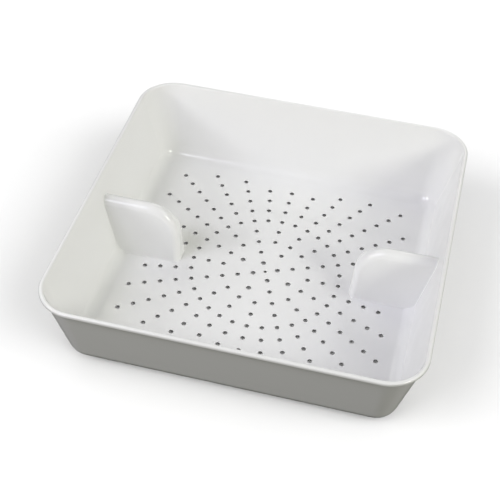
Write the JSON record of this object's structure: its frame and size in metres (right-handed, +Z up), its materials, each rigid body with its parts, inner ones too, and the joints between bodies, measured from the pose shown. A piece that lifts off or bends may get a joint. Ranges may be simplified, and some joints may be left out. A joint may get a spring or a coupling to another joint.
{
  "type": "cheese mold",
  "caption": "Square white plastic draining tray with sloping walls, rounded corners, a lipped rim, a floor of small drain holes in rings and upright finger grips inside.",
  "frame": {"origin": "middle of the standing ring, at the height of the table", "axes": "+X to the right, through the right-hand grip; +Y to the rear; +Z up, out of the open mouth"},
  "size_m": [0.216, 0.216, 0.0528],
  "materials": {
    "white_plastic": "satin gloss, as moulded"
  },
  "bodies": {
    "root": {"rim": "white_plastic", "perforated_floor": "white_plastic", "front_wall": "white_plastic", "rear_wall": "white_plastic", "left_wall": "white_plastic", "right_wall": "white_plastic", "front_left_corner": "white_plastic", "front_right_corner": "white_plastic", "rear_left_corner": "white_plastic", "rear_right_corner": "white_plastic", "left_grip": "white_plastic", "right_grip": "white_plastic"}
  },
  "joints": []
}
